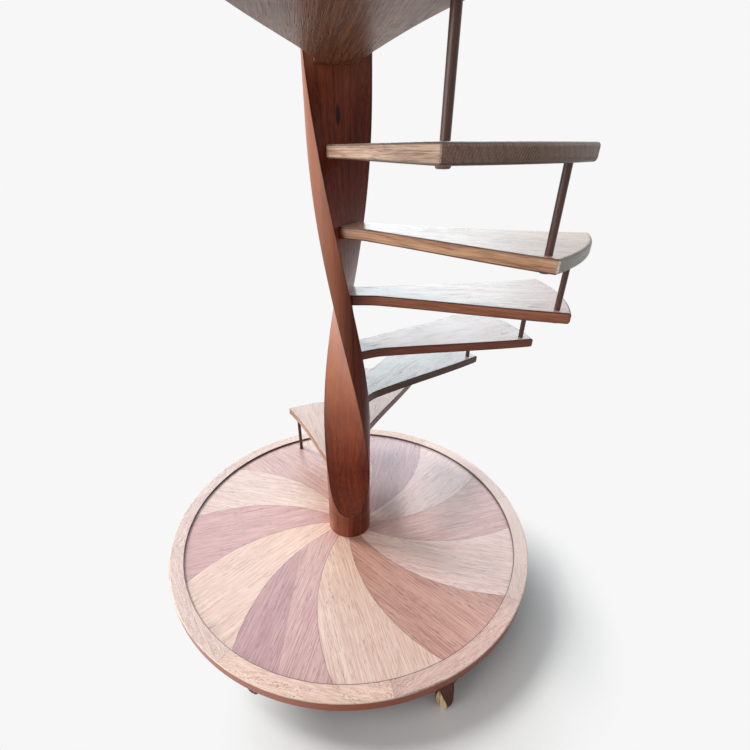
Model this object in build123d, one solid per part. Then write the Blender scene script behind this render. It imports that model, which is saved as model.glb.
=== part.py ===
"""Free-standing wooden spiral stair on a round inlaid base.

A turned post is cut on two sides so that it becomes a twisted plank with rounded edges.
Each wedge-shaped tread is housed in one wide face of the plank, and the face turns with the climb.
Round rods carry the outer ends: each rod stands on one tread and holds up the nose of the next.
The post stands on a round base board with twelve curved inlaid leaves and a raised rim in eight
curved lengths. Two rails under the board end in four carved feet.

Millimetres. +Z is up, the origin is on the floor on the post's axis, and the stair climbs
clockwise as seen from above.
"""

from build123d import *
import os
from math import asin, cos, degrees, pi, radians, sin

# driving dimensions
tread_count = 13
riser = 198.0                 # from one tread's top to the next
step_angle = 27.05            # turn from one tread to the next
first_tread_top = 393.0       # above the floor
tread_thickness = 32.0
tread_radius = 689.0          # outer edge, from the post's axis
first_tread_direction = 104.3  # compass of the first tread's middle line, anticlockwise from +X

foot_height = 102.0
base_thickness = 45.0
base_radius = 775.0
rim_width = 58.0
rim_count = 8
rim_first_joint = -80.8       # direction of one joint between two rim lengths
rim_round = 5.0               # rounding of the rim's outer edges
panel_recess = 10.0           # the inlaid panel lies this far below the rim
leaf_count = 12
leaf_thickness = 5.0
leaf_first_seam = -65.3       # direction of one seam where it meets the rim
leaf_sweep = 27.0             # turn of a seam from the post out to the rim
leaf_gap = 0.4                # open joint between two leaves

stub_radius = 91.5            # the post's round foot and head
stub_height = 80.0
post_radius = 90.0            # the rounded edges of the plank
plank_thickness = 58.0
runout = [                    # how the flats run out into the round: (from the axis, above the panel)
    (91.5, 110.0),
    (78.0, 134.0),
    (66.0, 164.0),
    (50.0, 208.0),
    (36.0, 260.0),
    (29.0, 310.0),
]
head_above_last_tread = 330.0
tenon_radius = 45.0

seat_distance = 26.0          # the tread's inner end, from the post's axis
nose_edge = [                 # plan of the leading edge; the middle line is +X
    (110.0, 50.0),
    (300.0, 77.0),
    (500.0, 110.0),
]
nose_corner_angle = 12.9
back_edge = [                 # plan of the trailing edge
    (100.0, -60.0),
    (325.0, -129.0),
    (490.0, -183.0),
]
back_corner_angle = -19.3
neck_blend = 120.0            # radius where the parallel neck turns into the wedge
seat_corner_round = 8.0
back_corner_round = 4.0
nose_corner_round = 14.0
edge_round = 3.0
end_round = 9.0               # the outer end is rounded over more than the long edges
end_trim = 4.0                # cut off the end of the blank when it is rounded over

rod_radius = 8.5
rod_circle = 650.0            # rods stand on this radius
rod_from_back_corner = 1.87   # degrees in from the tread's back corner
rod_hole_depth = 20.0         # blind hole in the nose of the tread above
rod_clearance = 0.15
cap_radius = 13.0             # turned button under the tread that carries a rod
cap_height = 5.0
cap_round = 4.0
ferrule_radius = 11.0         # collar on the panel under the first rod
ferrule_height = 4.0

rail_offset = 316.0           # of a foot rail's middle line, from the post's axis
rail_direction = -91.7        # compass direction in which the front feet point
rail_width = 56.0
rail_thickness = 44.0
rail_setback = 57.0           # the short end of a rail lies this much nearer the axis
foot_facet_direction = -123.2  # compass direction that the facet carved on a foot faces
foot_facet_distance = 456.0   # of that facet's plane from the post's axis

# heights and radii that follow
rim_bottom = foot_height
rim_top = foot_height + base_thickness
panel_top = rim_top - panel_recess
board_top = panel_top - leaf_thickness
rim_inner_radius = base_radius - rim_width
last_tread_top = first_tread_top + (tread_count - 1) * riser
post_top = last_tread_top + head_above_last_tread
twist_per_mm = -step_angle / riser


def polar(radius, angle):
    """The point at that radius and compass direction."""
    return (radius * cos(radians(angle)), radius * sin(radians(angle)))


def tread_top(number):
    return first_tread_top + (number - 1) * riser


def tread_direction(number):
    return first_tread_direction - (number - 1) * step_angle


def plank_direction(height):
    """Compass direction of the plank's tread-bearing face at that height."""
    middle = first_tread_top - tread_thickness / 2
    return first_tread_direction + (height - middle) * twist_per_mm


# the post
def plank_section():
    """The plank's cross-section: a disc with its two sides cut flat, the faces towards +X and -X."""
    disc = Circle(post_radius)
    strip = Rectangle(plank_thickness, 4 * post_radius)
    return disc & strip


def twisted_plank(bottom, top):
    """The plank between two heights, made in short turns."""
    spans = max(1, round((top - bottom) / 400))
    rise = (top - bottom) / spans
    parts = []
    for n in range(spans):
        low = bottom + n * rise
        face = Pos(0, 0, low) * Rot(0, 0, plank_direction(low)) * plank_section()
        parts.append(
            Solid.extrude_linear_with_rotation(
                face.faces()[0], (0, 0, low), (0, 0, rise), rise * twist_per_mm
            )
        )
    return parts


def round_end(end_height, plank_height):
    """The turned end of the post, from which both flats run out before the plank begins.

    end_height is the end of the post and plank_height is where the plank has its full section.
    The end may point up or down.
    """
    length = abs(plank_height - end_height)
    shaft = Cylinder(post_radius, length, align=(Align.CENTER, Align.CENTER, Align.MIN))
    stub = Cylinder(stub_radius, stub_height, align=(Align.CENTER, Align.CENTER, Align.MIN))
    far = 2 * post_radius
    first, last = runout[0], runout[-1]
    slope = Spline(runout, tangents=[(-0.45, 1), (0, 1)])
    profile = make_face(
        [
            slope,
            Line(last, (last[0], length + 1)),
            Line((last[0], length + 1), (far, length + 1)),
            Line((far, length + 1), (far, first[1])),
            Line((far, first[1]), first),
        ]
    )
    cutter = extrude(Plane.XZ * profile, amount=far, both=True)
    shaped = shaft + stub - cutter - cutter.rotate(Axis.Z, 180)
    if plank_height < end_height:
        shaped = mirror(shaped, Plane.XY)
    return Pos(0, 0, end_height) * Rot(0, 0, plank_direction(plank_height)) * shaped


def post():
    lower_full = panel_top + runout[-1][1]
    upper_full = post_top - runout[-1][1]
    solid = round_end(panel_top, lower_full) + round_end(post_top, upper_full)
    for part in twisted_plank(lower_full, upper_full):
        solid += part
    seat = Cylinder(
        stub_radius, leaf_thickness, align=(Align.CENTER, Align.CENTER, Align.MIN)
    )
    tenon = Cylinder(
        tenon_radius, board_top - rim_bottom, align=(Align.CENTER, Align.CENTER, Align.MIN)
    )
    solid += Pos(0, 0, board_top) * seat + Pos(0, 0, rim_bottom) * tenon
    for number in range(1, tread_count + 1):
        solid -= housing(number)
    return solid


def housing(number):
    """The shallow pocket that takes the inner end of a tread."""
    pocket = extrude(tread_outline(), amount=-tread_thickness)
    return Pos(0, 0, tread_top(number)) * Rot(0, 0, tread_direction(number)) * pocket


# treads and rods
def tread_outline():
    """Plan of a tread's blank, its middle line +X: a parallel neck that flares into a wedge."""
    blank_radius = tread_radius + end_trim
    nose_corner = polar(blank_radius, nose_corner_angle)
    back_corner = polar(blank_radius, back_corner_angle)
    nose_neck = nose_edge[0]
    back_neck = back_edge[0]
    nose_seat = (seat_distance, nose_neck[1])
    back_seat = (seat_distance, back_neck[1])
    plan = make_face(
        [
            Line(nose_seat, nose_neck),
            Spline(nose_edge + [nose_corner]),
            ThreePointArc(nose_corner, polar(blank_radius, 0), back_corner),
            Spline([back_corner] + back_edge[::-1]),
            Line(back_neck, back_seat),
            Line(back_seat, nose_seat),
        ]
    )
    for corner, radius in (
        (nose_neck, neck_blend),
        (back_neck, neck_blend),
        (nose_corner, nose_corner_round),
        (back_corner, back_corner_round),
        (nose_seat, seat_corner_round),
        (back_seat, seat_corner_round),
    ):
        nearest = plan.vertices().sort_by_distance((*corner, 0))[0]
        plan = fillet(nearest, radius)
    return plan


def rounded_disc():
    """The round that all treads are trimmed to, with its two arrises rounded over."""
    disc = Cylinder(
        tread_radius, tread_thickness, align=(Align.CENTER, Align.CENTER, Align.MAX)
    )
    return fillet(disc.edges().filter_by(GeomType.CIRCLE), end_round)


def rod_place(angle_from_middle):
    return polar(rod_circle, angle_from_middle)


def tread(number):
    body = extrude(tread_outline(), amount=-tread_thickness)
    middle = -tread_thickness / 2
    clear_of_seat = seat_distance + seat_corner_round
    arrises = [e for e in body.edges() if abs(e.center().Z - middle) > 1]
    arrises = [e for e in arrises if e.center().X > clear_of_seat]
    body = fillet(arrises, edge_round) & rounded_disc()
    hole = rod_radius + rod_clearance
    back_rod = rod_place(back_corner_angle + rod_from_back_corner)
    nose_rod = rod_place(back_corner_angle + rod_from_back_corner + step_angle)
    if number < tread_count:
        body -= Pos(*back_rod, -tread_thickness / 2) * Cylinder(hole, 2 * tread_thickness)
    blind = Cylinder(hole, rod_hole_depth, align=(Align.CENTER, Align.CENTER, Align.MIN))
    body -= Pos(*nose_rod, -tread_thickness) * blind
    return Pos(0, 0, tread_top(number)) * Rot(0, 0, tread_direction(number)) * body


def rod(number):
    """The rod under the nose of that tread. It stands on the tread below, or on the panel."""
    top = tread_top(number) - tread_thickness + rod_hole_depth - 0.5
    if number == 1:
        bottom = panel_top
        foot = Cylinder(
            ferrule_radius, ferrule_height, align=(Align.CENTER, Align.CENTER, Align.MIN)
        )
        foot = fillet(foot.edges().group_by(Axis.Z)[-1], ferrule_height / 2)
    else:
        bottom = tread_top(number - 1) - tread_thickness
        foot = Cylinder(
            cap_radius, cap_height, align=(Align.CENTER, Align.CENTER, Align.MAX)
        )
        foot = fillet(foot.edges().group_by(Axis.Z)[0], cap_round)
    shaft = Cylinder(rod_radius, top - bottom, align=(Align.CENTER, Align.CENTER, Align.MIN))
    angle = tread_direction(number) + back_corner_angle + rod_from_back_corner + step_angle
    return Pos(*polar(rod_circle, angle), bottom) * (shaft + foot)


# the base
def base_board():
    board = Cylinder(
        rim_inner_radius, board_top - rim_bottom, align=(Align.CENTER, Align.CENTER, Align.MIN)
    )
    board -= Cylinder(tenon_radius, 200)
    return Pos(0, 0, rim_bottom) * board


def rim_length(number):
    """One curved length of the rim."""
    ring = Cylinder(base_radius, base_thickness, align=(Align.CENTER, Align.CENTER, Align.MIN))
    ring = fillet(ring.edges().group_by(Axis.Z)[-1], rim_round)
    ring = fillet(ring.edges().group_by(Axis.Z)[0], rim_round / 2)
    ring -= Cylinder(rim_inner_radius, 3 * base_thickness)
    span = 360 / rim_count
    start = rim_first_joint + number * span
    far = 2 * base_radius
    wedge = make_face(
        Polyline((0, 0), polar(far, start), polar(far, start + span), close=True)
    )
    wedge = extrude(wedge, amount=base_thickness)
    return Pos(0, 0, rim_bottom) * (ring & wedge)


def leaf(number):
    """One inlaid leaf between two curved seams that sweep out from the post to the rim."""
    inner = stub_radius + leaf_gap / 2
    outer = rim_inner_radius - leaf_gap / 2
    middle = (inner + outer) / 2
    pitch = 360 / leaf_count

    def seam_point(radius, side):
        share = (outer - radius) / (outer - inner)
        direction = leaf_first_seam + number * pitch - leaf_sweep * share
        back_off = degrees(leaf_gap / 2 / radius)
        return polar(radius, direction + (back_off if side == 0 else pitch - back_off))

    right, left = 0, 1
    first = ThreePointArc(
        seam_point(inner, right), seam_point(middle, right), seam_point(outer, right)
    )
    second = ThreePointArc(
        seam_point(inner, left), seam_point(middle, left), seam_point(outer, left)
    )
    edge_middle = leaf_first_seam + number * pitch + pitch / 2
    rim_arc = ThreePointArc(first @ 1, polar(outer, edge_middle), second @ 1)
    hub_arc = ThreePointArc(first @ 0, polar(inner, edge_middle - leaf_sweep), second @ 0)
    plan = make_face([first, rim_arc, second, hub_arc])
    return Pos(0, 0, board_top) * extrude(plan, amount=leaf_thickness)


def leaves(first):
    """Every second leaf, as separate solids."""
    return Compound([leaf(n).solids()[0] for n in range(first, leaf_count, 2)])


def carved_foot():
    """The long front foot. Frame: +X is the way the rail points and +Y is to its right.

    Its outer face is turned about the post's axis, flush with the rim at the top and swept out
    to the toe. One flank is cut by a flat facet.
    """
    outer = Spline(
        [(775, 102), (777, 90), (786, 66), (797, 42), (801.5, 24), (800, 8), (794, 0)],
        tangents=[(0, -1), (-1, -0.6)],
    )
    inner = Spline(
        [(762, 0), (748, 24), (728, 48), (712, 74), (704, 102)], tangents=[(-0.3, 1), (-0.1, 1)]
    )
    profile = make_face([outer, Line((794, 0), (762, 0)), inner, Line((704, 102), (775, 102))])
    turned = revolve(Plane.XZ * profile, Axis.Z)
    right = Spline(
        [(10, 0), (18, 8), (27, 25), (32, 50), (33.5, 85), (46, 102)], tangents=[(1, 0.5), (1, 0.4)]
    )
    left = Spline(
        [(-20, 102), (-22, 85), (-25, 55), (-21, 20), (-12, 6), (-6, 0)],
        tangents=[(0, -1), (1, -0.5)],
    )
    front = make_face([right, Line((46, 102), (-20, 102)), left, Line((-6, 0), (10, 0))])
    across = extrude(Plane.YZ * Pos(rail_offset, 0, 0) * front, amount=2 * base_radius)
    facet = Pos(foot_facet_distance, 0, 0) * Box(
        400, 1600, 400, align=(Align.MIN, Align.CENTER, Align.CENTER)
    )
    return (turned & across) - Rot(0, 0, foot_facet_direction - rail_direction) * facet


def foot_rail(number):
    """A rail under the board with a foot at each end. The second rail is the first turned round."""
    long_foot = carved_foot()
    short_foot = Pos(rail_setback, 0, 0) * mirror(long_foot, Plane.YZ)
    front_end = base_radius - 125
    bar = Pos(rail_setback / 2, rail_offset, foot_height) * Box(
        2 * front_end - rail_setback,
        rail_width,
        rail_thickness,
        align=(Align.CENTER, Align.CENTER, Align.MAX),
    )
    return Rot(0, 0, rail_direction + 180 * number) * (long_foot + bar + short_foot)


def all_parts():
    parts = {"post": post(), "base_board": base_board()}
    for n in range(rim_count):
        parts[f"rim_length_{n + 1}"] = rim_length(n)
    parts["light_inlay_leaves"] = leaves(first=1)
    parts["dark_inlay_leaves"] = leaves(first=0)
    for n in range(2):
        parts[f"foot_rail_{n + 1}"] = foot_rail(n)
    for n in range(1, tread_count + 1):
        parts[f"tread_{n:02d}"] = tread(n)
        parts[f"rod_{n:02d}"] = rod(n)
    return parts


os.makedirs("parts", exist_ok=True)
for name, shape in all_parts().items():
    export_step(shape, f"parts/{name}.step")
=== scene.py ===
import bpy
import math
from mathutils import Matrix, Vector


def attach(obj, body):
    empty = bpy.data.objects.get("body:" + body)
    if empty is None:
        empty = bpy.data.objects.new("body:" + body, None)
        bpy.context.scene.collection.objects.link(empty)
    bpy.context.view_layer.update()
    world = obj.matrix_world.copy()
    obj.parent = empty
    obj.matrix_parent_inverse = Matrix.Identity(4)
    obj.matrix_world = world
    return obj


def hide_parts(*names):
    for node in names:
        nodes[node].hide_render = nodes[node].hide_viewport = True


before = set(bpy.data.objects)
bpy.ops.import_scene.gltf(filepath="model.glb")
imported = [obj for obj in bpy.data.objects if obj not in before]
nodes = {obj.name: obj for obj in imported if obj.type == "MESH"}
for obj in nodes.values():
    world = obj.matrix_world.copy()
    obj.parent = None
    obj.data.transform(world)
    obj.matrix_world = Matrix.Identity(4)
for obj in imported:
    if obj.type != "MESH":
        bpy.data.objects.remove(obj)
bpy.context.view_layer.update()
print("stair frame loaded,", len(nodes), "nodes")

# sizes that several pieces share, in metres and degrees
stair = {
    "treadCount": 13,
    "rise": 0.198,
    "stepAngle": 27.05,
    "firstTreadTop": 0.393,
    "firstDirection": 104.3,   # middle line of the first tread
    "treadThickness": 0.032,
    "baseRadius": 0.775,
    "rimTop": 0.147,
    "panelTop": 0.137,
    "postTop": 3.099,
}


def treadTop(number):
    return stair["firstTreadTop"] + (number - 1) * stair["rise"]


def treadDirection(number):
    return stair["firstDirection"] - (number - 1) * stair["stepAngle"]


# a screen colour, 0 to 255, as the linear colour that nodes want
def tint(red, green, blue):
    def linear(value):
        share = value / 255
        return share / 12.92 if share <= 0.04045 else ((share + 0.055) / 1.055) ** 2.4

    return (linear(red), linear(green), linear(blue), 1)


# the camera stands in front of the foot of the stair, a little above eye height
cameraPlace = {
    "sensor": 36,             # millimetres
    "lens": 20.70144,
    "shift": (0.01613333, 0.07093333),
    "distance": 1.83557,      # in base radii, from the post's axis
    "height": 1.83973,        # in base radii, above the rim
    "pitch": 0.576254,        # radians, looking down
    "yaw": 0.0432721,
    "roll": -0.00480,
}


def buildCamera(place):
    data = bpy.data.cameras.new("stairCamera")
    data.sensor_width = place["sensor"]
    data.lens = place["lens"]
    data.shift_x, data.shift_y = place["shift"]
    camera = bpy.data.objects.new("stairCamera", data)
    bpy.context.scene.collection.objects.link(camera)
    cp, sp = math.cos(place["pitch"]), math.sin(place["pitch"])
    cy, sy = math.cos(place["yaw"]), math.sin(place["yaw"])
    forward = Vector((sy * cp, cy * cp, -sp))
    right = Vector((cy, -sy, 0))
    up = right.cross(forward)
    cr, sr = math.cos(place["roll"]), math.sin(place["roll"])
    right, up = cr * right + sr * up, cr * up - sr * right
    radius = stair["baseRadius"]
    spot = Vector((0, -place["distance"] * radius, stair["rimTop"] + place["height"] * radius))
    turn = Matrix((right, up, -forward)).transposed().to_4x4()
    camera.matrix_world = Matrix.Translation(spot) @ turn
    bpy.context.scene.camera = camera
    return camera


camera = buildCamera(cameraPlace)
print("camera placed at", tuple(round(v, 3) for v in camera.location))


# a node's output as a value: arithmetic on it adds the math nodes to its tree
class NodeValue:
    def __init__(self, socket):
        self.socket = socket

    def __add__(self, other):
        return calc("ADD", self, other)

    def __radd__(self, other):
        return calc("ADD", other, self)

    def __sub__(self, other):
        return calc("SUBTRACT", self, other)

    def __rsub__(self, other):
        return calc("SUBTRACT", other, self)

    def __mul__(self, other):
        return calc("MULTIPLY", self, other)

    def __truediv__(self, other):
        return calc("DIVIDE", self, other)

    def __pow__(self, other):
        return calc("POWER", self, other)

    def __abs__(self):
        return calc("ABSOLUTE", self)


# all outputs of a node, each found by its name
class Outlets:
    def __init__(self, node):
        self.node = node

    def __getitem__(self, name):
        return NodeValue(self.node.outputs[name])


def treeOf(*values):
    return next(value.socket.id_data for value in values if isinstance(value, NodeValue))


def feed(socket, value):
    if isinstance(value, NodeValue):
        socket.id_data.links.new(value.socket, socket)
    elif value is not None:
        socket.default_value = value


def addNode(tree, kind, feeds=None, **settings):
    node = tree.nodes.new(kind)
    for name, value in settings.items():
        setattr(node, name, value)
    for name, value in (feeds or {}).items():
        feed(node.inputs[name], value)
    return node


def make(tree, kind, feeds=None, outlet=0, **settings):
    return NodeValue(addNode(tree, kind, feeds, **settings).outputs[outlet])


def calc(operation, *values):
    return make(treeOf(*values), "ShaderNodeMath", dict(enumerate(values)), operation=operation)


def ease(value, low, high, start=0.0, end=1.0, shape="SMOOTHSTEP"):
    feeds = dict(enumerate((value, low, high, start, end)))
    return make(treeOf(value), "ShaderNodeMapRange", feeds, interpolation_type=shape, clamp=True)


# 1 between the middle two levels, and fading to 0 at the outer two
def band(value, low, lowFull, highFull, high):
    return ease(value, low, lowFull) * ease(value, highFull, high, 1.0, 0.0)


def blend(share, first, second):
    return first + share * (second - first)


def mixColours(share, first, second, mode="MIX"):
    settings = {"data_type": "RGBA", "blend_type": mode, "clamp_factor": True}
    return make(treeOf(share, first, second), "ShaderNodeMix", {0: share, 6: first, 7: second}, 2, **settings)


def splitVector(vector):
    outputs = addNode(treeOf(vector), "ShaderNodeSeparateXYZ", {0: vector}).outputs
    return [NodeValue(output) for output in outputs]


def joinVector(x, y, z):
    return make(treeOf(x, y, z), "ShaderNodeCombineXYZ", {0: x, 1: y, 2: z})


def vectorCalc(operation, first, second=None):
    outlet = 1 if operation in ("LENGTH", "DOT_PRODUCT") else 0
    return make(treeOf(first), "ShaderNodeVectorMath", {0: first, 1: second}, outlet, operation=operation)


def turnAboutZ(vector, angle):
    feeds = {"Vector": vector, "Angle": angle}
    return make(treeOf(vector), "ShaderNodeVectorRotate", feeds, rotation_type="Z_AXIS")


def radiusOf(x, y):
    return calc("SQRT", x ** 2.0 + y ** 2.0)


def degreesOf(x, y):
    return calc("ARCTAN2", y, x) * (180 / math.pi)


# soft noise from -0.5 to 0.5, stretched by a scale for each axis
def noise(vector, scales, detail=2.0, roughness=0.5):
    place = vectorCalc("MULTIPLY", vector, scales)
    feeds = {"Vector": place, "Scale": 1.0, "Detail": detail, "Roughness": roughness}
    return make(treeOf(vector), "ShaderNodeTexNoise", feeds) - 0.5


def newGroup(name, inlets, outlets, kind="ShaderNodeTree"):
    tree = bpy.data.node_groups.new(name, kind)
    for title, socketKind, value in inlets:
        socket = tree.interface.new_socket(name=title, in_out="INPUT", socket_type=socketKind)
        if value is not None:
            socket.default_value = value
    for title, socketKind in outlets:
        tree.interface.new_socket(name=title, in_out="OUTPUT", socket_type=socketKind)
    inside = Outlets(tree.nodes.new("NodeGroupInput"))
    outside = tree.nodes.new("NodeGroupOutput").inputs
    return tree, inside, outside


def useGroup(tree, group, feeds):
    node = tree.nodes.new("ShaderNodeGroup")
    node.node_tree = group
    for name, value in feeds.items():
        feed(node.inputs[name], value)
    return Outlets(node)


floatSocket, vectorSocket, colourSocket = "NodeSocketFloat", "NodeSocketVector", "NodeSocketColor"

# how often the wood's marks repeat in a metre: along the grain, across it and through it
grainScales = {
    "wander": (1.5, 5.0, 5.0),
    "streaks": (3.0, 150.0, 150.0),
    "broad": (1.2, 26.0, 26.0),
    "fine": (16.0, 620.0, 620.0),
    "lines": (6.0, 210.0, 210.0),
    "dashes": (36.0, 360.0, 360.0),
    "poreClouds": (4.0, 40.0, 40.0),
    "heart": (-0.04, 0.09),           # middle of the growth rings, across and through
}


# wood with its grain along X: growth rings, long streaks and short open pores
def buildWoodGrain():
    tree, inside, outside = newGroup(
        "woodGrain",
        [
            ("Place", vectorSocket, None),
            ("Seed", floatSocket, 0.0),
            ("Pale", colourSocket, (0.6, 0.4, 0.25, 1)),
            ("Deep", colourSocket, (0.3, 0.16, 0.1, 1)),
            ("Pore", colourSocket, (0.1, 0.05, 0.03, 1)),
            ("Ring Width", floatSocket, 0.012),
            ("Ring Share", floatSocket, 0.3),
            ("Streak Share", floatSocket, 0.5),
            ("Line Share", floatSocket, 1.0),
            ("Pore Share", floatSocket, 0.5),
            ("Fineness", vectorSocket, (1.0, 1.0, 1.0)),
        ],
        [("Colour", colourSocket), ("Height", floatSocket)],
    )
    seed = inside["Seed"]
    place = vectorCalc("ADD", inside["Place"], joinVector(seed * 1.71, seed * 0.613, seed * 0.377))
    y, z = splitVector(place)[1:]
    heartY, heartZ = grainScales["heart"]
    depth = radiusOf(y - heartY, z - heartZ) + noise(place, grainScales["wander"], 2.0) * 0.09
    turns = depth * (2 * math.pi) / inside["Ring Width"]
    rings = (calc("SINE", turns) * 0.5 + 0.5) ** 2.0
    streaks = noise(place, grainScales["streaks"], 4.0, 0.65)
    broad = noise(place, grainScales["broad"], 2.0)
    fine = noise(place, grainScales["fine"], 2.0)
    close = vectorCalc("MULTIPLY", place, inside["Fineness"])
    lines = noise(close, grainScales["lines"], 2.0, 0.6)
    share = 0.42 + (rings - 0.35) * inside["Ring Share"]
    share = share + (streaks + broad) * (inside["Streak Share"] * 1.6)
    share = share + (lines + fine * 0.7) * inside["Line Share"]
    colour = mixColours(ease(share, 0.0, 1.0, 0.0, 1.0, "LINEAR"), inside["Pale"], inside["Deep"])
    dashes = ease(noise(close, grainScales["dashes"], 1.0), 0.06, 0.18)
    pores = dashes * ease(noise(place, grainScales["poreClouds"], 1.0), -0.2, 0.15)
    feed(outside["Colour"], mixColours(pores * inside["Pore Share"], colour, inside["Pore"]))
    feed(outside["Height"], fine * 0.5 + streaks * 0.4 - pores * 0.7)
    return tree


handlingLook = {
    "mottle": (38.0, 38.0, 38.0),     # marks in a metre
    "cloud": (5.0, 5.0, 5.0),
    "dulled": (0.55, 0.5, 0.47, 1),
}


# edges lightened along a given mask (on the rim a painted highlight), handling marks and an uneven polish
# over any finish
def buildHandling():
    tree, inside, outside = newGroup(
        "handling",
        [
            ("Place", vectorSocket, None),
            ("Colour", colourSocket, (0.5, 0.3, 0.2, 1)),
            ("Edge", floatSocket, 0.0),
            ("Edge Highlight", colourSocket, (0.8, 0.6, 0.45, 1)),
            ("Soiling", floatSocket, 0.2),
            ("Roughness", floatSocket, 0.4),
        ],
        [("Colour", colourSocket), ("Roughness", floatSocket)],
    )
    mottle = noise(inside["Place"], handlingLook["mottle"], 4.0, 0.6)
    cloud = noise(inside["Place"], handlingLook["cloud"], 3.0)
    edge = inside["Edge"] * ease(mottle, -0.25, 0.1, 0.25, 1.0)
    dull = ease(cloud, -0.1, 0.25) * inside["Soiling"]
    colour = mixColours(dull, inside["Colour"], handlingLook["dulled"], "MULTIPLY")
    rough = inside["Roughness"] + mottle * 0.22 + cloud * 0.12 + edge * 0.12
    feed(outside["Colour"], mixColours(edge, colour, inside["Edge Highlight"]))
    feed(outside["Roughness"], ease(rough, 0.05, 0.95, 0.05, 0.95, "LINEAR"))
    return tree


woodGrain = buildWoodGrain()
handling = buildHandling()
print("shared node groups built")


def newMaterial(name):
    material = bpy.data.materials.new(name)
    material.use_nodes = True
    tree = material.node_tree
    return material, tree, tree.nodes["Principled BSDF"].inputs


# wood in a piece's own colours; what is given last overrules the look's grain settings
def useGrain(place, seed, look, **changes):
    feeds = {"Place": place, "Seed": seed, "Pale": look["pale"], "Deep": look["deep"], "Pore": look["pore"]}
    return useGroup(treeOf(place), woodGrain, {**feeds, **look["grain"], **changes})


# joins grain, wear and bump to a polished surface
def finishWood(skin, place, colour, height, look, edge=None, gloss=None):
    tree = treeOf(place)
    feeds = {"Place": place, "Colour": colour, "Edge": edge, "Edge Highlight": look.get("edgeHighlight")}
    worn = useGroup(tree, handling, {**feeds, "Soiling": look["soiling"], "Roughness": look["roughness"]})
    bump = {"Strength": look["bump"], "Distance": 0.0012, "Height": height}
    feed(skin["Base Color"], worn["Colour"])
    feed(skin["Roughness"], worn["Roughness"])
    feed(skin["Normal"], make(tree, "ShaderNodeBump", bump))
    feed(skin["Coat Weight"], look["coat"] if gloss is None else gloss)
    feed(skin["Coat Roughness"], look["coatRoughness"])
    feed(skin["Specular IOR Level"], look.get("specular", 0.5))


def objectPlace(tree):
    return make(tree, "ShaderNodeTexCoord", outlet="Object")


def surfaceNormal(tree):
    return make(tree, "ShaderNodeTexCoord", outlet="Normal")


# turns and moves the pattern so that X runs along a piece
def turnedPlace(tree, degreesTurned, offset):
    feeds = {"Vector": objectPlace(tree), "Rotation": (0, 0, math.radians(degreesTurned)), "Location": offset}
    return make(tree, "ShaderNodeMapping", feeds)


def paintNode(name, material):
    nodes[name].data.materials.clear()
    nodes[name].data.materials.append(material)


# the post is a turned shaft with two sides cut flat; the flats turn with the climb
postSizes = {
    "Round Radius": 0.090,
    "End Radius": 0.0915,
    "End Height": 0.080,
    "Bottom": stair["panelTop"],
    "Top": stair["postTop"],
    "Run Out": 0.310,
    "First Direction": math.radians(94.737),
    "Twist Per Metre": math.radians(-stair["stepAngle"] / stair["rise"]),
    "Tenon Radius": 0.045,
    "Tenon Height": 0.035,
}
postMesh = {"Columns": 24, "Rows": 480}
# how the flats run out: share of the way, then share of the end radius left
postRunOut = [
    (0.0, 1.0), (0.355, 1.0), (0.432, 0.852), (0.529, 0.721), (0.671, 0.546), (0.839, 0.393), (1.0, 0.317),
]
postLook = {
    "pale": tint(166, 80, 51),
    "deep": tint(90, 34, 25),
    "pore": tint(46, 18, 13),
    "grain": {
        "Ring Width": 0.021, "Ring Share": 0.25, "Streak Share": 0.6, "Line Share": 1.5, "Pore Share": 0.6,
        "Fineness": (0.7, 1.1, 1.1),
    },
    "darkBoard": tint(70, 28, 26),
    "boardAcross": (0.94, 0.34),      # direction in which one board follows another
    # painted sheen on the side of the post that faces the low light on the left
    "faded": tint(230, 164, 132),
    "fadedSide": (-0.94, -0.34, 0.0),
    "keptRed": (1.0, 0.8, 0.72, 1),
    "arris": tint(46, 18, 14),
    "knotTone": tint(24, 9, 8),
    "knot": (-0.001, -0.0314, 1.645),
    "knotNarrowness": (145.0, 60.0, 40.0),
    "patchLine": tint(34, 13, 9),
    "patch": (-126, 0.17, 0.248),     # compass direction of its near edge, and its heights
    "soiling": 0.35,
    "roughness": 0.34,
    "specular": 0.1,
    "bump": 0.25,
    "coat": 0.12,
    "coatRoughness": 0.25,
}


def lift(tree, geometry, height, turn=None):
    feeds = {"Geometry": geometry, "Translation": joinVector(0.0, 0.0, height)}
    feeds["Rotation"] = None if turn is None else joinVector(0.0, 0.0, turn)
    return make(tree, "GeometryNodeTransform", feeds)


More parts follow.
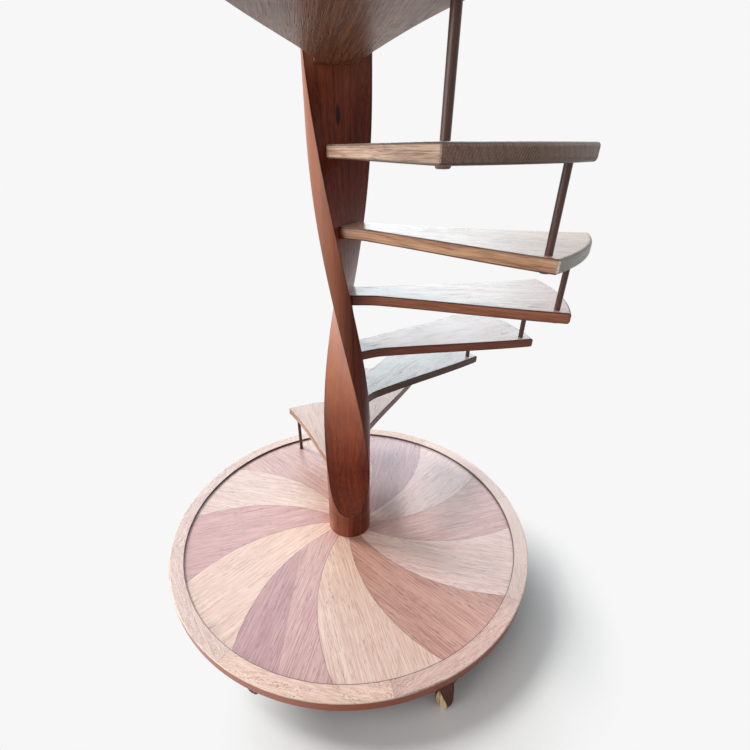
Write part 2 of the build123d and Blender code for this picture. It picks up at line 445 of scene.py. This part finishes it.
def buildPostTree():
    inlets = [(name, floatSocket, value) for name, value in postSizes.items()]
    inlets += [(name, "NodeSocketInt", value) for name, value in postMesh.items()]
    inlets.append(("Finish", "NodeSocketMaterial", None))
    outlets = [("Geometry", "NodeSocketGeometry")]
    tree, inside, outside = newGroup("twistedPost", inlets, outlets, "GeometryNodeTree")
    bottom, top, runOut, endRadius = (inside[name] for name in ("Bottom", "Top", "Run Out", "End Radius"))
    columns = inside["Columns"] * 4.0 + 1.0
    sheet = {"Size X": 1.0, "Size Y": 1.0, "Vertices X": columns, "Vertices Y": inside["Rows"]}
    grid = make(tree, "GeometryNodeMeshGrid", sheet)
    u, v = (value + 0.5 for value in splitVector(make(tree, "GeometryNodeInputPosition"))[:2])
    # height: more rows where the flats run out, over this share of them
    crowded = 0.22
    near = calc("MINIMUM", v, 1.0 - v)
    middleHalf = (top - bottom) * 0.5 - runOut
    fromEnd = ease(near, 0.0, crowded, 0.0, runOut, "LINEAR")
    fromEnd = fromEnd + ease(near, crowded, 0.5, 0.0, middleHalf, "LINEAR")
    upper = calc("GREATER_THAN", v, 0.5)
    height = blend(upper, bottom + fromEnd, top - fromEnd)
    # the round and the flats at that height
    step = 0.0005
    atEnd = ease(fromEnd, inside["End Height"] - step, inside["End Height"] + step, 1.0, 0.0)
    radius = blend(atEnd, inside["Round Radius"], endRadius)
    softTop = 0.003
    radius = radius - upper * ease(fromEnd, 0.0, 0.004, softTop, 0.0)
    curve = addNode(tree, "ShaderNodeFloatCurve", {"Value": calc("MINIMUM", fromEnd / runOut, 1.0)})
    line = curve.mapping.curves[0]
    line.points[0].location = postRunOut[0]
    line.points[1].location = postRunOut[-1]
    for spot in postRunOut[1:-1]:
        line.points.new(*spot)
    curve.mapping.update()
    flat = calc("MINIMUM", NodeValue(curve.outputs[0]) * endRadius, radius * 0.99999)
    chord = calc("SQRT", radius ** 2.0 - flat ** 2.0)
    corner = calc("ARCTAN2", chord, flat)
    # four spans round the section, each with its columns bunched at the arrises
    span = calc("MINIMUM", calc("FLOOR", u * 4.0 + 0.0001), 3.0)
    part = 0.5 - calc("COSINE", (u * 4.0 - span) * math.pi) * 0.5
    isRound = calc("MODULO", span, 2.0)
    side = 1.0 - calc("GREATER_THAN", span, 1.5) * 2.0
    angle = corner + part * (math.pi - corner * 2.0)
    sectionX = blend(isRound, flat, radius * calc("COSINE", angle))
    sectionY = blend(isRound, chord * (part * 2.0 - 1.0), radius * calc("SINE", angle))
    # the arris is eased by half a millimetre, and kept as an attribute for the finish
    nearArris = calc("MINIMUM", part, 1.0 - part)
    cut = ease(chord, 0.004, 0.02)
    eased = calc("LESS_THAN", nearArris, 0.001) * (cut * 0.007)
    arris = ease(nearArris, 0.004, 0.035, 1.0, 0.0) * cut
    scale = side * (1.0 - eased)
    twistStart, twistEnd = bottom + runOut, top - runOut
    turned = calc("MINIMUM", calc("MAXIMUM", height, twistStart), twistEnd)
    direction = inside["First Direction"] + (turned - twistStart) * inside["Twist Per Metre"]
    lastDirection = inside["First Direction"] + (twistEnd - twistStart) * inside["Twist Per Metre"]
    point = turnAboutZ(joinVector(sectionX * scale, sectionY * scale, height), direction)
    marked = make(
        tree,
        "GeometryNodeStoreNamedAttribute",
        {"Geometry": grid, "Name": "arris", "Value": arris},
        data_type="FLOAT",
        domain="POINT",
    )
    shaft = make(tree, "GeometryNodeSetPosition", {"Geometry": marked, "Position": point})
    # the two ends, closed by discs, and the tenon that goes down into the board
    sides = 48
    discs = [
        make(tree, "GeometryNodeMeshCircle", {"Vertices": sides, "Radius": size}, fill_type="TRIANGLE_FAN")
        for size in (endRadius - softTop, endRadius)
    ]
    lowDisc = make(tree, "GeometryNodeFlipFaces", {0: discs[1]})
    tenonSizes = {"Vertices": sides, "Radius": inside["Tenon Radius"], "Depth": inside["Tenon Height"]}
    tenon = make(tree, "GeometryNodeMeshCylinder", tenonSizes)
    joined = addNode(tree, "GeometryNodeJoinGeometry")
    feed(joined.inputs[0], shaft)
    feed(joined.inputs[0], lift(tree, discs[0], top, lastDirection))
    feed(joined.inputs[0], lift(tree, lowDisc, bottom))
    feed(joined.inputs[0], lift(tree, tenon, bottom - inside["Tenon Height"] * 0.5))
    # shaded smooth but for the sharp edges
    merge = {"Geometry": NodeValue(joined.outputs[0]), "Distance": 0.00005}
    body = make(tree, "GeometryNodeMergeByDistance", merge)
    body = make(tree, "GeometryNodeSetShadeSmooth", {"Geometry": body, "Shade Smooth": True}, domain="FACE")
    sharp = calc("GREATER_THAN", make(tree, "GeometryNodeInputMeshEdgeAngle"), 0.75)
    crease = {"Geometry": body, "Selection": sharp, "Shade Smooth": False}
    body = make(tree, "GeometryNodeSetShadeSmooth", crease, domain="EDGE")
    body = make(tree, "GeometryNodeRealizeInstances", {"Geometry": body})
    finish = {"Geometry": body, "Material": inside["Finish"]}
    feed(outside[0], make(tree, "GeometryNodeSetMaterial", finish))
    return tree


# runs a tree on an empty mesh and keeps the result as a plain mesh
def growPiece(name, tree, values):
    mesh = bpy.data.meshes.new(name + "Seed")
    seed = bpy.data.objects.new(name + "Seed", mesh)
    bpy.context.scene.collection.objects.link(seed)
    modifier = seed.modifiers.new(name, "NODES")
    modifier.node_group = tree
    for socket in tree.interface.items_tree:
        if socket.in_out == "INPUT" and socket.name in values:
            modifier[socket.identifier] = values[socket.name]
    graph = bpy.context.evaluated_depsgraph_get()
    plain = bpy.data.meshes.new_from_object(seed.evaluated_get(graph))
    seed.modifiers.remove(modifier)
    bpy.data.objects.remove(seed)
    plain.name = name
    piece = bpy.data.objects.new(name, plain)
    bpy.context.scene.collection.objects.link(piece)
    return piece


def postFinish():
    material, tree, skin = newMaterial("mahoganyPost")
    x, y, z = splitVector(objectPlace(tree))
    place = joinVector(z, x, y)
    grain = useGrain(place, 2.3, postLook)
    # the post is glued up from thick upright boards
    acrossX, acrossY = postLook["boardAcross"]
    across = x * acrossX + y * acrossY
    boards = noise(joinVector(across * 34.0, 0.0, z * 0.15), (1.0, 1.0, 1.0), 0.0)
    colour = mixColours(ease(boards, -0.16, 0.16, 0.0, 0.42), grain["Colour"], postLook["darkBoard"])
    # a dark spindle-shaped knot on one flat
    narrowness = zip((x, y, z), postLook["knot"], postLook["knotNarrowness"])
    reach = joinVector(*((value - middle) * narrow for value, middle, narrow in narrowness))
    knotShare = ease(vectorCalc("LENGTH", reach), 0.6, 1.15, 0.95, 0.0)
    colour = mixColours(knotShare, colour, postLook["knotTone"])
    # a patch let into the foot of the post shows as an upright and a level line
    edge, low, high = postLook["patch"]
    beside = (degreesOf(x, y) - edge) * math.radians(postSizes["End Radius"])
    upright = ease(abs(beside), 0.0016, 0.0036, 1.0, 0.0) * ease(z, low, low + 0.03)
    upright = upright * calc("LESS_THAN", z, high)
    level = ease(abs(z - high), 0.002, 0.0046, 1.0, 0.0) * calc("LESS_THAN", beside, 0.0)
    colour = mixColours(calc("MAXIMUM", upright, level) * 0.9, colour, postLook["patchLine"])
    # painted sheen: the side towards the low light on the left is painted paler, standing in for the sheen of
    # that light on the polish
    facing = vectorCalc("DOT_PRODUCT", surfaceNormal(tree), postLook["fadedSide"])
    faded = ease(facing, -0.1, 0.75, 0.0, 0.42) * ease(z, 0.45, 1.05, 0.32, 1.0)
    colour = mixColours(faded, colour, postLook["faded"])
    # low down, above the round foot, the polish has kept its red
    colour = mixColours(band(z, 0.24, 0.42, 0.35, 0.95), colour, postLook["keptRed"], "MULTIPLY")
    # polish has gathered dark along the arrises
    arris = make(tree, "ShaderNodeAttribute", outlet="Fac", attribute_name="arris")
    colour = mixColours(arris * 0.7, colour, postLook["arris"])
    finishWood(skin, place, colour, grain["Height"], postLook)
    return material


post = growPiece("twistedPost", buildPostTree(), {**postSizes, **postMesh, "Finish": postFinish()})
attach(post, "root")
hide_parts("post")
print("post grown,", len(post.data.polygons), "faces")

# every tread is one oak board; each has its own tone, partly painted shade and light
treadLook = {
    "pale": tint(214, 168, 130),
    "deep": tint(158, 108, 80),
    "pore": tint(78, 46, 36),
    "grain": {"Ring Share": 0.4, "Streak Share": 0.5},
    "lowGrain": {"Line Share": 2.2, "Pore Share": 0.5, "Fineness": (0.4, 1.3, 1.6)},
    "highGrain": {"Line Share": 3.8, "Pore Share": 1.0, "Fineness": (0.5, 1.1, 1.3)},
    "highGrainFrom": 8,                 # the first tread whose grain is coarse
    "ringWidths": (0.013, 0.015, 0.017),
    # painted reflection: the top faces are painted pale and bluish, partly as bleached wood
    "topBleach": tint(212, 217, 221),
    "lowBleach": tint(228, 208, 204),   # on the two lowest treads
    "end": tint(128, 90, 80),
    # painted reflection on the end of one tread
    "paleEnd": tint(206, 228, 224),
    "paleEndTread": 6,
    "endFrom": (0.682, 0.685),          # distances from the axis where the end grain begins
    "arc": tint(70, 42, 36),
    "arcWidth": 0.0055,
    "heart": (0.26, -0.17),             # middle of the growth rings, seen on the outer edge
    "arris": tint(58, 32, 25),
    "soiling": 0.25,
    "roughness": 0.4,
    "specular": 0.3,
    "bump": 0.7,
    "coat": 0.1,
    "topCoat": 1.0,
    "coatRoughness": 0.22,
}
treadToneAndShade = {                 # a tone over the oak, partly painted shade that darkens the lower treads and painted light on tread 7, its strength, and how far the top is painted pale
    1: ((0.96, 0.9, 0.92, 1), 1.0, 0.48),
    2: ((0.42, 0.29, 0.29, 1), 1.0, 0.48),
    3: (tint(96, 66, 66), 0.85, 0.48),
    4: ((0.56, 0.3, 0.28, 1), 1.0, 0.42),
    5: ((0.66, 0.43, 0.4, 1), 1.0, 0.42),
    6: ((1.0, 0.97, 0.94, 1), 1.0, 0.22),
    7: ((1.08, 1.34, 1.7, 1), 1.0, 0.35),
    8: (tint(168, 140, 132), 0.7, 0.3),
    9: (tint(200, 150, 116), 0.35, 0.25),
    10: (tint(186, 134, 106), 0.4, 0.25),
    11: (tint(206, 156, 120), 0.3, 0.25),
    12: (tint(190, 140, 108), 0.35, 0.25),
    13: (tint(212, 160, 124), 0.3, 0.25),
}


def treadFinish(number):
    material, tree, skin = newMaterial(f"oakTread{number:02d}")
    place = turnedPlace(tree, -treadDirection(number), (0, 0, -treadTop(number)))
    x, y, z = splitVector(place)
    radius = radiusOf(x, y)
    endGrain = ease(radius, *treadLook["endFrom"])
    # on the two long edges the grain runs out from the post
    upright = splitVector(surfaceNormal(tree))[2]
    onEdge = ease(abs(upright), 0.5, 0.6, 1.0, 0.0) * (1.0 - endGrain)
    outward = joinVector(radius, calc("SIGN", y) * 0.3, z)
    along = make(tree, "ShaderNodeMix", {0: onEdge, 4: place, 5: outward}, 1, data_type="VECTOR")
    changes = treadLook["highGrain" if number >= treadLook["highGrainFrom"] else "lowGrain"]
    ringWidth = treadLook["ringWidths"][number % 3]
    grain = useGrain(along, number * 1.37, treadLook, **{"Ring Width": ringWidth, **changes})
    # each tread's tone is partly painted shade and light, and its top is painted pale
    toneAndShade, strength, topPaleShare = treadToneAndShade[number]
    colour = mixColours(strength, grain["Colour"], toneAndShade, "MULTIPLY")
    # end grain has its own tone on the outer edge, with arcs of the growth rings; on tread 6 the end is
    # painted pale and bluish, a painted reflection
    endToneAndSheen = treadLook["paleEnd" if number == treadLook["paleEndTread"] else "end"]
    colour = mixColours(endGrain * 0.5, colour, endToneAndSheen)
    heartY, heartZ = treadLook["heart"]
    fromHeart = vectorCalc("LENGTH", joinVector(0.0, y - heartY, z - heartZ))
    fromHeart = fromHeart + noise(place, (4.0, 24.0, 24.0), 1.0) * 0.006
    arcs = ease(calc("SINE", fromHeart * (2 * math.pi / treadLook["arcWidth"])), -0.3, 0.9, 0.0, 0.5)
    arcs = arcs * ease(noise(place, (4.0, 14.0, 60.0), 2.0), -0.16, 0.12, 0.25, 1.0)
    colour = mixColours(arcs * endGrain, colour, treadLook["arc"])
    # a dark line runs along the arris just under the top; just above the underside a dark band is painted
    # shade on the lower rounded edge
    upper = band(z, -0.0052, -0.0028, -0.001, -0.0001)
    underShade = band(z, -0.0319, -0.0315, -0.0296, -0.0266)
    colour = mixColours(calc("MAXIMUM", upper, underShade) * 0.8, colour, treadLook["arris"])
    # the top face is painted pale and bluish, partly bleached wood and partly a painted reflection of the
    # light behind, and keeps its thick varnish
    topFace = ease(z, -0.0012, -0.0004)
    colour = mixColours(topFace * topPaleShare, colour, treadLook["lowBleach" if number < 3 else "topBleach"])
    # the varnish has sunk into the open grain
    varnish = ease(grain["Height"], -0.3, 0.06, 0.1 * treadLook["topCoat"], treadLook["topCoat"])
    gloss = blend(topFace, treadLook["coat"], varnish)
    finishWood(skin, place, colour, grain["Height"], treadLook, gloss=gloss)
    return material


for number in range(1, stair["treadCount"] + 1):
    paintNode(f"tread_{number:02d}", treadFinish(number))
print("treads finished")

rodLook = {
    "pale": tint(112, 72, 58),
    "deep": tint(62, 34, 28),
    "pore": tint(28, 14, 12),
    "grain": {
        "Ring Width": 0.006, "Ring Share": 0.2, "Streak Share": 0.6, "Line Share": 0.8, "Pore Share": 0.5,
    },
    "plug": tint(158, 112, 88),
    "soiling": 0.3,
    "roughness": 0.38,
    "specular": 0.3,
    "bump": 0.2,
    "coat": 0.2,
    "coatRoughness": 0.2,
}


def rodFinish(number):
    material, tree, skin = newMaterial(f"darkRod{number:02d}")
    x, y, z = splitVector(objectPlace(tree))
    place = joinVector(z, x, y)
    grain = useGrain(place, 5.1, rodLook)
    # the end under the tread that the rod goes through is plugged with the treads' wood
    under = treadTop(number - 1) - stair["treadThickness"] if number > 1 else 0.0
    plug = ease(z, under - 0.0002, under + 0.0002, 1.0, 0.0)
    colour = mixColours(plug, grain["Colour"], rodLook["plug"])
    finishWood(skin, place, colour, grain["Height"], rodLook)
    return material


for number in range(1, stair["treadCount"] + 1):
    paintNode(f"rod_{number:02d}", rodFinish(number))
print("rods finished")

# twelve leaves: every seam is one arc from the post out to the rim
leafSizes = {
    "count": 12,
    "firstSeam": -65.3,
    "arcCentre": (0.7274, 60.669),   # distance and direction, from a seam's own end
    "arcRadius": 0.72944,
    "grainTurn": 18.7,               # the grain lies this far round from the seam before it
}
leafLook = {
    "grain": {
        "Ring Width": 0.024, "Ring Share": 0.1, "Streak Share": 0.4, "Line Share": 3.3, "Pore Share": 0.6,
        "Fineness": (0.9, 1.15, 1.15),
    },
    "seam": tint(86, 52, 44),
    # painted light and a warmer tone near the post
    "warm": (1.1, 1.05, 0.96, 1),
    "warmUpTo": (0.12, 0.58),        # warm as far as the first distance, and not past the second
    "soiling": 0.15,
    "roughness": 0.4,
    "bump": 0.3,
    "coat": 0.7,
    "coatRoughness": 0.3,
}
white = (1, 1, 1, 1)
# each wood's colours, its leaves' tones in order round the base, and its leaf that is made of two boards
lightLeaf = {
    "pale": tint(248, 225, 217),
    "deep": tint(222, 184, 174),
    "pore": tint(150, 110, 94),
    "odd": 1,
    "tones": [
        (1.1, 1.09, 1.13, 1), (1.03, 1.06, 1.16, 1), (0.96, 0.97, 1, 1), white,
        (1.05, 1.02, 0.97, 1), (1.03, 1.0, 0.95, 1),
    ],
    "pair": {"leaf": 5, "start": 0.03, "slope": 0.05, "share": 0.5, "tone": (0.95, 0.93, 0.93, 1)},
}
darkLeaf = {
    "pale": tint(238, 204, 198),
    "deep": tint(198, 152, 148),
    "pore": tint(130, 88, 82),
    "odd": 0,
    "tones": [
        (0.87, 0.74, 0.66, 1), (1, 0.97, 1, 1), (0.82, 0.87, 1.02, 1), (0.98, 0.95, 0.95, 1),
        (0.9, 0.81, 0.86, 1), (0.95, 0.9, 0.94, 1),
    ],
    "pair": {"leaf": 10, "start": -0.2011, "slope": 0.2149, "share": 0.9, "tone": (0.8, 0.72, 0.8, 1)},
}


# which leaf a point lies in, its own coordinates with X along the grain, and how near the seam is
def buildLeafPlace():
    tree, inside, outside = newGroup(
        "leafPlace",
        [("Place", vectorSocket, None), ("Odd", floatSocket, 0.0)],
        [("Place", vectorSocket), ("Number", floatSocket), ("Seam", floatSocket)],
    )
    place, odd = inside["Place"], inside["Odd"]
    count, firstSeam = leafSizes["count"], leafSizes["firstSeam"]
    leafAngle = 360 / count
    x, y = splitVector(place)[:2]
    radius = calc("MAXIMUM", radiusOf(x, y), 0.02)
    # a seam has swept round by this angle where it reaches the point's radius
    reach, direction = leafSizes["arcCentre"]
    cosine = (radius ** 2.0 + (reach ** 2 - leafSizes["arcRadius"] ** 2)) / (radius * (2 * reach))
    swept = direction - calc("ARCCOSINE", cosine) * (180 / math.pi)
    steps = (degreesOf(x, y) - swept - firstSeam) / leafAngle
    # the nearest leaf of the same wood, odd or even
    number = calc("FLOOR", (steps - odd + 0.5) * 0.5) * 2.0 + odd
    fromMiddle = abs(steps - number - 0.5)
    gap = (0.5 - fromMiddle) * radius * math.radians(leafAngle)
    filled = ease(noise(place, (14.0, 14.0, 14.0), 2.0), -0.12, 0.1, 0.35, 1.0)
    turn = (number * leafAngle + (firstSeam + leafSizes["grainTurn"])) * (-math.pi / 180)
    feed(outside["Place"], turnAboutZ(place, turn))
    feed(outside["Number"], calc("FLOORED_MODULO", number, float(count)))
    feed(outside["Seam"], ease(gap, 0.0004, 0.002, 1.0, 0.0) * filled)
    return tree


leafPlace = buildLeafPlace()


# steps through a list of tones as the share goes from 0 to 1
def toneRamp(share, tones):
    ramp = addNode(treeOf(share), "ShaderNodeValToRGB", {0: share})
    ramp.color_ramp.interpolation = "CONSTANT"
    points = ramp.color_ramp.elements
    points[0].position, points[0].color = 0.0, tones[0]
    points[1].position, points[1].color = 1 / len(tones), tones[1]
    for index, tone in enumerate(tones[2:], 2):
        points.new(index / len(tones)).color = tone
    return NodeValue(ramp.outputs[0])


def leafFinish(name, wood):
    material, tree, skin = newMaterial(name)
    spot = useGroup(tree, leafPlace, {"Place": objectPlace(tree), "Odd": float(wood["odd"])})
    place, number = spot["Place"], spot["Number"]
    grain = useGrain(place, number * 1.9, {**leafLook, **wood})
    share = (number + 0.5) / float(leafSizes["count"])
    colour = mixColours(1.0, grain["Colour"], toneRamp(share, wood["tones"]), "MULTIPLY")
    # the second board of a leaf that is glued up from two
    pair = wood["pair"]
    x, y = splitVector(place)[:2]
    line = y - (pair["start"] + x * pair["slope"])
    secondBoard = ease(line, -0.001, 0.001, 1.0, 0.0) * calc("COMPARE", number, float(pair["leaf"]), 0.1)
    colour = mixColours(secondBoard * pair["share"], colour, pair["tone"], "MULTIPLY")
    colour = mixColours(spot["Seam"] * 0.7, colour, leafLook["seam"])
    # near the post the wood is painted lighter and warmer: painted light that lifts the post's shadow, with a
    # warmer tone
    warmLightShare = ease(vectorCalc("LENGTH", place), *leafLook["warmUpTo"], 1.0, 0.0)
    colour = mixColours(warmLightShare, colour, leafLook["warm"], "MULTIPLY")
    finishWood(skin, place, colour, grain["Height"], leafLook)
    return material


paintNode("light_inlay_leaves", leafFinish("lightLeafWood", lightLeaf))
paintNode("dark_inlay_leaves", leafFinish("darkLeafWood", darkLeaf))
print("inlay finished")

rimLook = {
    "count": 8,
    "firstJoint": -80.8,
    "pale": tint(248, 226, 217),
    "deep": tint(221, 187, 174),
    "pore": tint(138, 96, 82),
    "grain": {
        "Ring Width": 0.017, "Ring Share": 0.15, "Streak Share": 0.4, "Line Share": 3.0, "Pore Share": 0.8,
        "Fineness": (4.0, 1.3, 1.3),
    },
    "tones": [
        (0.88, 0.8, 0.81, 1), white, white, (0.98, 0.94, 0.9, 1),
        (1, 0.98, 0.96, 1), (0.96, 0.97, 1, 1), (0.91, 0.91, 0.92, 1), (1.03, 0.96, 0.91, 1),
    ],
    # painted light on the side of the rim where the treads' shadow falls
    "bleached": tint(255, 230, 224),
    "bleachedSide": (0.985, 0.174),
    "joint": tint(104, 66, 52),
    "side": tint(186, 88, 38),
    "sideFrom": (0.7722, 0.7738),     # distances from the axis
    "sideBelow": (0.1425, 0.1445),    # heights
    # painted shade on the wall down to the inlay
    "recess": tint(40, 22, 18),
    "recessWithin": (0.7176, 0.7202),
    "arrisFrom": (0.7705, 0.7725),
    "arrisAbove": (0.1415, 0.1435),
    # painted highlight on the outer top arris
    "edgeHighlight": tint(250, 228, 206),
    "soiling": 0.2,
    "roughness": 0.42,
    "bump": 0.3,
    "coat": 0.3,
    "coatRoughness": 0.22,
}


def rimFinish():
    material, tree, skin = newMaterial("rimWood")
    origin = objectPlace(tree)
    x, y, z = splitVector(origin)
    radius, angle = radiusOf(x, y), degreesOf(x, y)
    count = rimLook["count"]
    span = 360 / count
    number = calc("FLOOR", (angle - rimLook["firstJoint"]) / span)
    middle = (number + 0.5) * span + rimLook["firstJoint"]
    # the grain of each length runs square to its middle line
    place = turnAboutZ(origin, (90.0 - middle) * (math.pi / 180))
    grain = useGrain(place, number * 2.7, rimLook)
    share = (calc("FLOORED_MODULO", number, float(count)) + 0.5) / float(count)
    colour = mixColours(1.0, grain["Colour"], toneRamp(share, rimLook["tones"]), "MULTIPLY")
    # painted light: the rim is painted paler on its right side, where the treads' shadow falls
    sideX, sideY = rimLook["bleachedSide"]
    facing = (x * sideX + y * sideY) / radius
    colour = mixColours(ease(facing, 0.5, 1.0, 0.0, 0.6), colour, rimLook["bleached"])
    fromJoint = (span / 2 - abs(angle - middle)) * (math.pi / 180 * 0.75)
    colour = mixColours(ease(fromJoint, 0.0004, 0.0018, 0.35, 0.0), colour, rimLook["joint"])
    # the outer side is darker; the wall down to the inlay is painted dark, a painted shade in the recess
    side = mixColours(0.45, rimLook["side"], grain["Colour"], "MULTIPLY")
    sideShare = ease(radius, *rimLook["sideFrom"]) * ease(z, *rimLook["sideBelow"], 1.0, 0.0)
    colour = mixColours(sideShare, colour, side)
    recess = ease(radius, *rimLook["recessWithin"], 1.0, 0.0)
    colour = mixColours(recess * 0.9, colour, rimLook["recess"])
    # painted highlight along the outer top arris, where the light catches the rounded edge
    arris = ease(radius, *rimLook["arrisFrom"]) * ease(z, *rimLook["arrisAbove"])
    finishWood(skin, place, colour, grain["Height"], rimLook, edge=arris * 0.8)
    return material


rimWood = rimFinish()
for number in range(1, rimLook["count"] + 1):
    paintNode(f"rim_length_{number}", rimWood)
print("rim finished")

# the board under the inlay is glued up from planks
boardLook = {
    "pale": tint(176, 138, 110),
    "deep": tint(130, 94, 72),
    "pore": tint(76, 50, 38),
    "grain": {
        "Ring Width": 0.02, "Ring Share": 0.4, "Streak Share": 0.5, "Line Share": 0.8, "Pore Share": 0.6,
    },
    "plank": 0.112,
    "seam": tint(50, 32, 24),
    "soiling": 0.5,
    "roughness": 0.62,
    "bump": 0.4,
    "coat": 0.0,
    "coatRoughness": 0.3,
}


def boardFinish():
    material, tree, skin = newMaterial("boardWood")
    place = objectPlace(tree)
    row = splitVector(place)[1] / boardLook["plank"]
    number = calc("FLOOR", row)
    grain = useGrain(place, number * 3.1, boardLook)
    gap = (0.5 - abs(row - number - 0.5)) * boardLook["plank"]
    seam = ease(gap, 0.0004, 0.0016, 0.8, 0.0)
    colour = mixColours(seam, grain["Colour"], boardLook["seam"])
    finishWood(skin, place, colour, grain["Height"] - seam, boardLook)
    return material


paintNode("base_board", boardFinish())

footLook = {
    "pale": tint(118, 58, 40),
    "deep": tint(70, 30, 20),
    "pore": tint(38, 18, 14),
    "grain": {
        "Ring Width": 0.012, "Ring Share": 0.3, "Streak Share": 0.5, "Line Share": 0.8, "Pore Share": 0.6,
    },
    "grainDirection": 91.7,
    # carved flats: bare wood with a painted highlight
    "facet": tint(240, 206, 164),
    "facetStreak": tint(142, 84, 50),
    "facetFaces": [(-123.2, 0.456), (119.8, 0.4074)],   # compass direction and distance of each carved flat
    "soiling": 0.3,
    "roughness": 0.45,
    "specular": 0.25,
    "bump": 0.3,
    "coat": 0.1,
    "coatRoughness": 0.25,
}


def footFinish():
    material, tree, skin = newMaterial("footWood")
    origin = objectPlace(tree)
    place = turnedPlace(tree, footLook["grainDirection"], (0, 0, 0))
    grain = useGrain(place, 8.2, footLook)
    # the carved flats are painted pale, partly bare wood and partly a painted highlight of the light from the
    # left, and the polish stops against them in a dark line
    onFacet, border = 0.0, 0.0
    for direction, distance in footLook["facetFaces"]:
        facing = (math.cos(math.radians(direction)), math.sin(math.radians(direction)), 0)
        off = abs(abs(vectorCalc("DOT_PRODUCT", origin, facing)) - distance)
        onFacet = calc("MAXIMUM", onFacet, ease(off, 0.0006, 0.0014, 1.0, 0.0))
        border = calc("MAXIMUM", border, band(off, 0.0006, 0.0014, 0.003, 0.006))
    streak = ease(noise(place, (90.0, 160.0, 12.0), 3.0), 0.0, 0.14)
    facet = mixColours(streak, footLook["facet"], footLook["facetStreak"])
    colour = mixColours(onFacet, grain["Colour"], facet)
    colour = mixColours(border * 0.8, colour, footLook["pore"])
    finishWood(skin, place, colour, grain["Height"], footLook)
    return material


footWood = footFinish()
for name in ("foot_rail_1", "foot_rail_2"):
    paintNode(name, footWood)
print("base and feet finished")

# floor and light: a soft window on the left, a paler one behind, and a white room
room = {
    "paper": 0.93,         # brightness of the empty background
    "bounce": 0.2,         # how much light the floor gives back to the stair
    "world": 0.05,
    "floor": 0.84,         # brightness of the lit floor, a little below the background
    "halfWidth": 14,
    "shade": (0.32, -0.5),   # the floor is plain around this spot and fades into the background
    "reach": (0.33, 0.63),   # between these distances from it
    "shadeTurn": 42,         # the plain patch is longer in this direction
    "shadeLength": 1.4,      # by this much
    "lampDistance": 6,
}
lamps = [                  # name, compass direction, height angle, strength, softness in degrees, colour
    ("leftWindow", 147, 41, 2.08, 18, (1.0, 0.985, 0.96)),
    ("sideFill", 199, 10, 2.6, 50, (1.0, 0.98, 0.96)),
    ("topLight", 20, 62, 0.88, 90, (1.0, 1.0, 1.0)),
    ("backWindow", 88, 32, 1.0, 50, (0.74, 0.93, 1.0)),
]


def grey(level):
    return (level, level, level, 1)


def isSeen(tree):
    path = Outlets(tree.nodes.new("ShaderNodeLightPath"))
    direct = calc("MAXIMUM", path["Is Camera Ray"], path["Is Glossy Ray"])
    return calc("MAXIMUM", direct, path["Is Transmission Ray"])


def buildFloor():
    side = room["halfWidth"]
    mesh = bpy.data.meshes.new("studioFloor")
    corners = [(-side, -side, 0), (side, -side, 0), (side, side, 0), (-side, side, 0)]
    mesh.from_pydata(corners, [], [(0, 1, 2, 3)])
    floor = bpy.data.objects.new("studioFloor", mesh)
    bpy.context.scene.collection.objects.link(floor)
    material, tree, skin = newMaterial("studioPaper")
    seen = isSeen(tree)
    feed(skin["Base Color"], mixColours(seen, grey(room["bounce"]), grey(room["floor"])))
    feed(skin["Roughness"], 0.9)
    feed(skin["Specular IOR Level"], 0.0)
    # away from the stair the paper glows as brightly as the background
    patch = {
        "Vector": objectPlace(tree),
        "Location": (*room["shade"], 0),
        "Rotation": (0, 0, math.radians(room["shadeTurn"])),
        "Scale": (room["shadeLength"], 1, 1),
    }
    local = make(tree, "ShaderNodeMapping", patch, vector_type="TEXTURE")
    share = ease(vectorCalc("LENGTH", local), *room["reach"]) * seen
    lit = NodeValue(tree.nodes["Principled BSDF"].outputs[0])
    glow = make(tree, "ShaderNodeEmission", {"Color": grey(room["paper"]), "Strength": 1.0})
    surface = make(tree, "ShaderNodeMixShader", {0: share, 1: lit, 2: glow})
    feed(tree.nodes["Material Output"].inputs["Surface"], surface)
    mesh.materials.append(material)


def buildWorld():
    world = bpy.data.worlds.new("studioWorld")
    bpy.context.scene.world = world
    world.use_nodes = True
    tree = world.node_tree
    sky = tree.nodes["Background"].inputs
    feed(sky["Strength"], ease(isSeen(tree), 0.0, 1.0, room["world"], room["paper"], "LINEAR"))
    feed(sky["Color"], white)


def sunLamp(name, compass, height, strength, softness, colour):
    data = bpy.data.lights.new(name, "SUN")
    data.energy = strength
    data.angle = math.radians(softness)
    data.color = colour
    lamp = bpy.data.objects.new(name, data)
    around, up = math.radians(compass), math.radians(height)
    spot = Vector((math.cos(around) * math.cos(up), math.sin(around) * math.cos(up), math.sin(up)))
    lamp.location = spot * room["lampDistance"]
    lamp.rotation_mode = "QUATERNION"
    lamp.rotation_quaternion = (-spot).to_track_quat("-Z", "Y")
    bpy.context.scene.collection.objects.link(lamp)


buildFloor()
buildWorld()
for lamp in lamps:
    sunLamp(*lamp)
bpy.context.scene.view_settings.view_transform = "Standard"
print("floor and light set")
